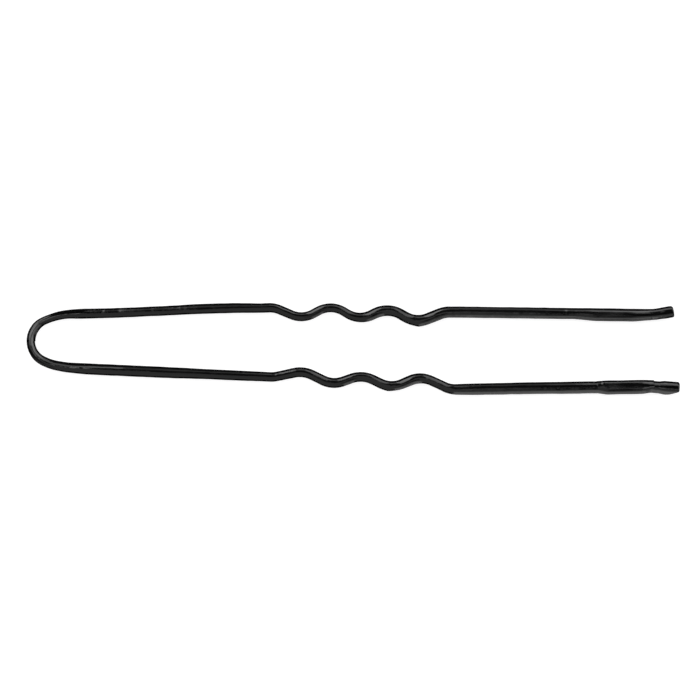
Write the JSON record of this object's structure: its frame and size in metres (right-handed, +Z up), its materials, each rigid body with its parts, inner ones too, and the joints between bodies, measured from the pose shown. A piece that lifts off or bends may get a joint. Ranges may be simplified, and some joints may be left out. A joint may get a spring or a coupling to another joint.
{
  "type": "hairpin",
  "caption": "Open U-shaped wire hairpin with a narrow bow, springy crimped legs and pinched, turned-out tips with thick lacquer beads; it grips a bun or twist of hair.",
  "frame": {"origin": "middle of the pin's bounding box, on the surface that the pin lies on", "axes": "+X from the bow to the tips, +Y towards the left leg, +Z up, square to the plane of the bent wire"},
  "size_m": [0.07, 0.01, 0.0015],
  "materials": {
    "spring_steel": "drawn",
    "black_lacquer": "semi-gloss",
    "bead_lacquer": "semi-gloss"
  },
  "bodies": {
    "bow": {"bow_wire": "spring_steel", "bow_lacquer": "black_lacquer"},
    "left_leg": {"left_leg_wire": "spring_steel", "left_leg_lacquer": "black_lacquer", "left_tip_bead": "bead_lacquer"},
    "right_leg": {"right_leg_wire": "spring_steel", "right_leg_lacquer": "black_lacquer", "right_tip_bead": "bead_lacquer"}
  },
  "joints": [
    {"name": "left_leg_flex", "type": "hinge", "parent": "bow", "child": "left_leg", "pos_m": [-0.03012, 0.00373, 0.00073], "axis": [0, 0, 1], "range_deg": [-2.8, 6], "stiffness_Nm_per_rad": 0.1934},
    {"name": "right_leg_flex", "type": "hinge", "parent": "bow", "child": "right_leg", "pos_m": [-0.03019, -0.00207, 0.00073], "axis": [0, 0, -1], "range_deg": [-2.8, 6], "stiffness_Nm_per_rad": 0.1934}
  ]
}
